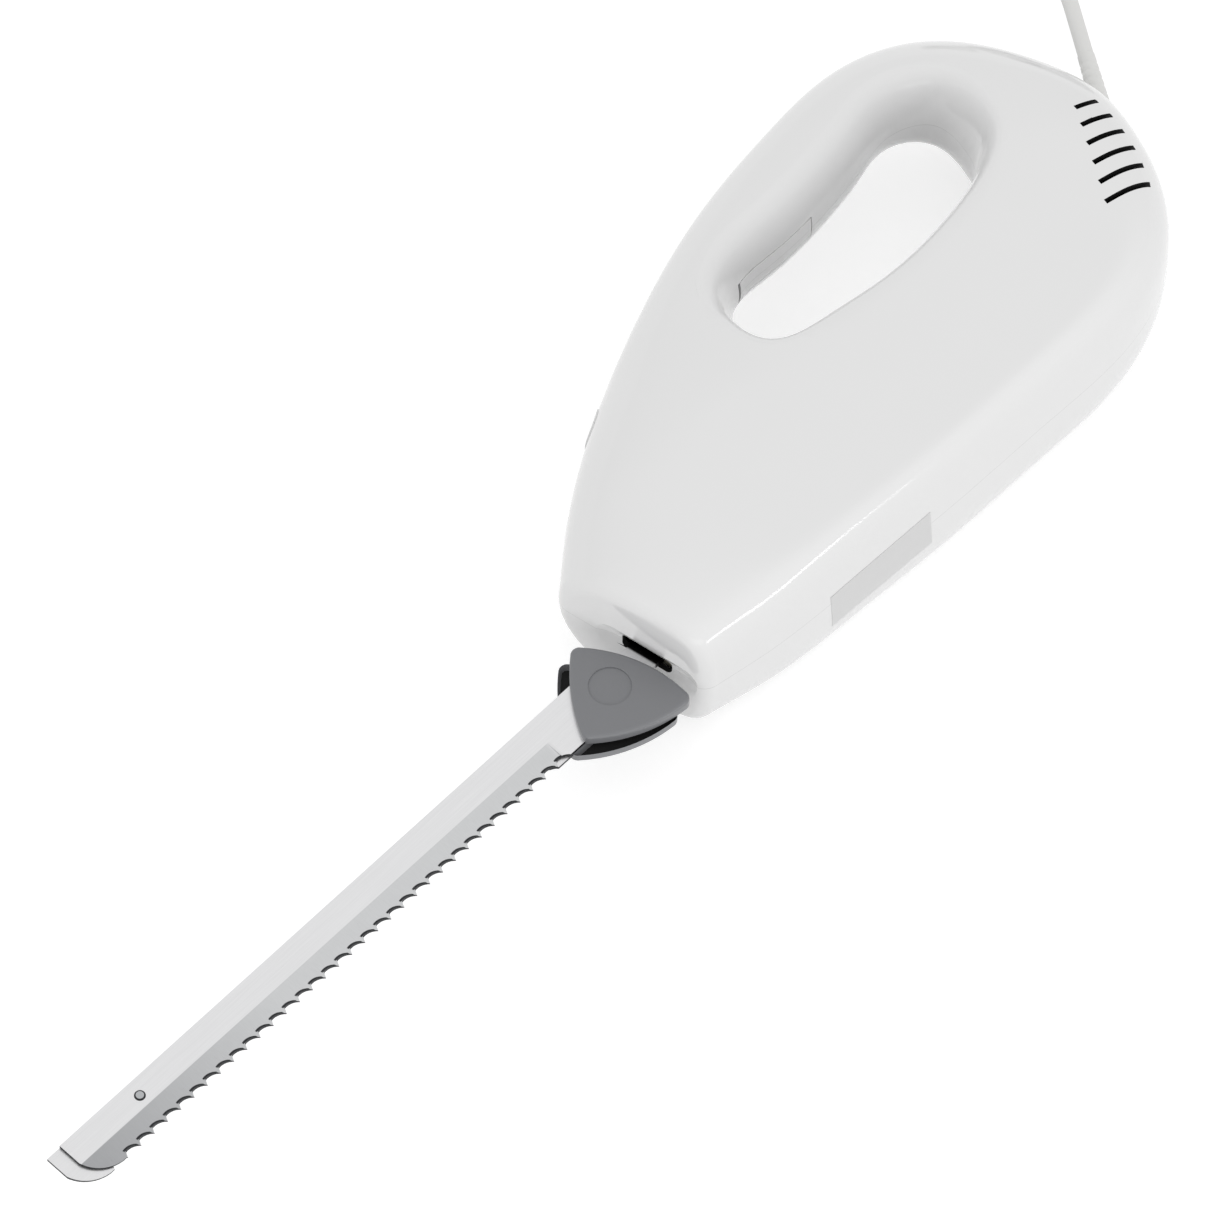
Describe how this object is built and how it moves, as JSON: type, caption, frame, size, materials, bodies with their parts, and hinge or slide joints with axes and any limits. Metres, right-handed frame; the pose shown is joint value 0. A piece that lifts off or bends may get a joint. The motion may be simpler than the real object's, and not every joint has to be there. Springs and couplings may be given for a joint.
{
  "type": "electric carving knife",
  "caption": "Corded electric carving knife: white closed-handle body with hand hole, finger trigger and side vents, driving a riveted pair of serrated blades in opposite strokes.",
  "frame": {"origin": "on the flat right side panel that it lies on, below the axle of the drive wheel and in line with the blades", "axes": "+X along the blades towards the rear, +Y towards the handle, +Z from the right side panel to the left one"},
  "size_m": [0.5869, 0.2343, 0.058],
  "materials": {
    "housing_white": "glossy",
    "guard_grey": "satin",
    "blade_steel": "ground",
    "steel": "bright",
    "gear_plastic": "satin",
    "inner_plastic": "matte",
    "core_steel": "laminated",
    "copper": "enamelled",
    "carbon": "matte",
    "bronze": "plain",
    "capacitor_film": "satin",
    "cord_white": "satin",
    "tie_grey": "matte",
    "plug_white": "satin",
    "pin_nickel": "nickel"
  },
  "bodies": {
    "housing": {"brush_holders": "inner_plastic", "brush_springs": "steel", "carbon_brushes": "carbon", "cord_coil": "cord_white", "cord_sleeve": "cord_white", "cord_tie": "tie_grey", "cover_screws": "steel", "field_coils": "copper", "frame_cover": "inner_plastic", "gear_frame": "inner_plastic", "guide_block": "inner_plastic", "housing_screws": "steel", "left_housing": "housing_white", "lever_pin": "steel", "plug_body": "plug_white", "plug_pins": "pin_nickel", "power_cord": "cord_white", "rear_bridge": "inner_plastic", "right_housing": "housing_white", "shaft_bushes": "bronze", "stator_core": "core_steel", "suppression_capacitor": "capacitor_film", "switch_body": "inner_plastic", "trigger_pin": "steel", "trigger_spring": "steel", "wheel_axle": "steel"},
    "rotor": {"armature_shaft": "steel", "armature_core": "core_steel", "armature_winding": "copper", "commutator": "copper", "cooling_fan": "inner_plastic", "drive_worm": "steel"},
    "wheel": {"worm_wheel": "gear_plastic"},
    "left_slider": {"left_drive_slider": "gear_plastic"},
    "right_slider": {"right_drive_slider": "gear_plastic"},
    "left_knife": {"left_blade": "blade_steel", "left_blade_guard": "guard_grey", "blade_rivet": "blade_steel"},
    "right_knife": {"right_blade": "blade_steel", "right_blade_guard": "guard_grey"},
    "trigger": {"trigger": "housing_white"},
    "plunger": {"switch_plunger": "gear_plastic"},
    "button": {"release_button": "housing_white", "release_spring": "steel"},
    "lever": {"release_lever": "gear_plastic"}
  },
  "joints": [
    {"name": "rotor_spin", "type": "hinge", "parent": "housing", "child": "rotor", "pos_m": [0, -0.0015, 0.029], "axis": [1, 0, 0], "continuous": true},
    {"name": "wheel_spin", "type": "hinge", "parent": "housing", "child": "wheel", "pos_m": [0, 0.014, 0.029], "axis": [0, 0, 1], "continuous": true},
    {"name": "left_stroke", "type": "slide", "parent": "housing", "child": "left_slider", "axis": [-1, 0, 0], "range_m": [0, 0.005]},
    {"name": "right_stroke", "type": "slide", "parent": "housing", "child": "right_slider", "axis": [1, 0, 0], "range_m": [0, 0.005]},
    {"name": "left_pull", "type": "slide", "parent": "left_slider", "child": "left_knife", "axis": [-1, 0, 0], "range_m": [0, 0.045]},
    {"name": "right_pull", "type": "slide", "parent": "right_slider", "child": "right_knife", "axis": [-1, 0, 0], "range_m": [0, 0.045]},
    {"name": "trigger_press", "type": "hinge", "parent": "housing", "child": "trigger", "pos_m": [0.1, 0.074, 0.029], "axis": [0, 0, -1], "range_deg": [0, 4.5], "stiffness_Nm_per_rad": 0.8, "springref_deg": -5.73},
    {"name": "plunger_press", "type": "slide", "parent": "housing", "child": "plunger", "axis": [0, 1, 0], "range_m": [0, 0.0025]},
    {"name": "button_press", "type": "slide", "parent": "housing", "child": "button", "axis": [0.4617, -0.887, 0], "range_m": [0, 0.003], "stiffness_N_per_m": 800, "springref_m": -0.003},
    {"name": "lever_swing", "type": "hinge", "parent": "housing", "child": "lever", "pos_m": [-0.02, 0.036, 0.029], "axis": [0, 0, -1], "range_deg": [0, 6]}
  ],
  "couplings": [
    {"joint": "wheel_spin", "follows": "rotor_spin", "ratio": -0.045455},
    {"joint": "right_stroke", "follows": "left_stroke", "ratio": 1},
    {"joint": "right_pull", "follows": "left_pull", "ratio": 1},
    {"joint": "plunger_press", "follows": "trigger_press", "m_per_rad": 0.026},
    {"joint": "lever_swing", "follows": "button_press", "rad_per_m": 31}
  ]
}
